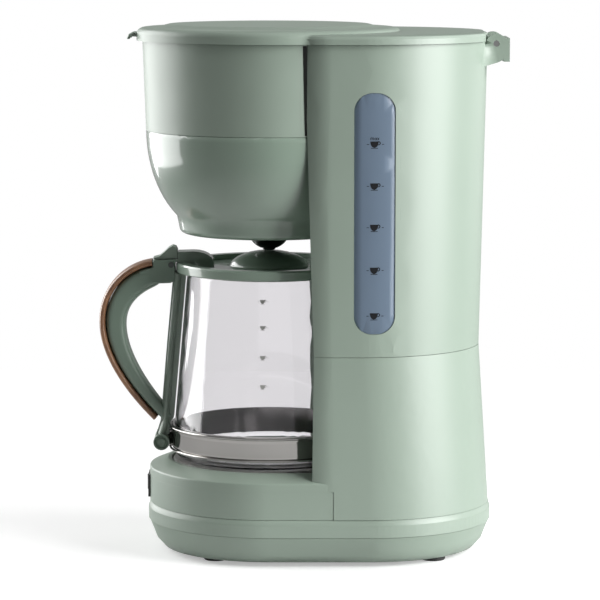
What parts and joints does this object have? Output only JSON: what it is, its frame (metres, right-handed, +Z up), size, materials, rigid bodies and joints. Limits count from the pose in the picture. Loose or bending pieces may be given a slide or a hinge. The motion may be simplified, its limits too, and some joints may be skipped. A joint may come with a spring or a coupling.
{
  "type": "drip coffee maker",
  "caption": "Drip coffee maker with a one-piece hinged lid, brew basket, side level window, warming plate and a glass carafe with a looped handle.",
  "frame": {"origin": "bottom centre of the whole machine, on the surface it stands on", "axes": "+Z up, -Y towards the carafe's handle (front), +X towards the side with the level window"},
  "size_m": [0.171, 0.2654, 0.343],
  "materials": {
    "green_matte": "satin moulded plastic, sage green",
    "green_gloss": "polished moulded plastic, sage green",
    "green_dark": "satin moulded plastic, deep sage",
    "black_plastic": "black moulded plastic",
    "rubber_black": "moulded rubber",
    "silicone": "translucent silicone",
    "steel_polished": "polished stainless steel",
    "steel_plain": "plain steel",
    "aluminium": "cast aluminium",
    "ceramic": "thermostat housing",
    "plate_coat": "non-stick coating on steel",
    "tube_white": "natural polypropylene",
    "window": "smoked translucent plastic",
    "glass": "clear borosilicate glass",
    "wood": "oiled wood-look strip",
    "mesh": "fine woven filter mesh"
  },
  "bodies": {
    "machine": {"base_pan": "green_matte", "feet": "rubber_black", "base_screws": "steel_plain", "base_skirt": "green_matte", "base_housing": "green_matte", "hotplate": "plate_coat", "plate_seal": "silicone", "heating_element": "aluminium", "flow_tube": "aluminium", "element_clamp": "steel_plain", "clamp_screw": "steel_plain", "thermostat": "ceramic", "check_valve": "tube_white", "inlet_hose": "silicone", "riser_hose": "silicone", "riser_tube": "tube_white", "lower_body": "green_matte", "cord_bushing": "rubber_black", "tank_shell": "green_matte", "gauge_window": "window", "basket_shell": "green_matte", "basket_bowl": "green_gloss", "filter_holder": "green_dark", "mesh_frame": "black_plastic", "filter_mesh": "mesh", "drip_outlet": "black_plastic", "spring_retainer": "black_plastic", "valve_spring": "steel_plain", "hinge_pin": "steel_plain", "switch_bezel": "black_plastic"},
    "lid": {"lid": "green_matte", "water_spreader": "green_dark"},
    "valve": {"valve_plunger": "black_plastic", "valve_seal": "silicone"},
    "switch": {"rocker_switch": "black_plastic"},
    "carafe": {"carafe_glass": "glass", "carafe_collar": "green_gloss", "steel_band": "steel_polished", "band_bolt": "green_dark", "handle": "green_dark", "handle_inlay": "wood", "handle_spine": "green_matte", "carafe_lid": "green_gloss", "lid_lever": "green_matte", "carafe_lid_pin": "steel_plain"}
  },
  "joints": [
    {"name": "lid_hinge", "type": "hinge", "parent": "machine", "child": "lid", "pos_m": [0, 0.124, 0.331], "axis": [-1, 0, 0], "range_deg": [0, 95]},
    {"name": "carafe_slide", "type": "slide", "parent": "machine", "child": "carafe", "axis": [0, -1, 0], "range_m": [0, 0.165]},
    {"name": "power_switch", "type": "hinge", "parent": "machine", "child": "switch", "pos_m": [0, -0.0972, 0.0419], "axis": [0, 0, -1], "range_deg": [0, 18]},
    {"name": "drip_valve", "type": "slide", "parent": "machine", "child": "valve", "axis": [0, 0, 1], "range_m": [0, 0.003], "stiffness_N_per_m": 80, "springref_m": -0.004, "deforming": ["valve_spring"]}
  ]
}
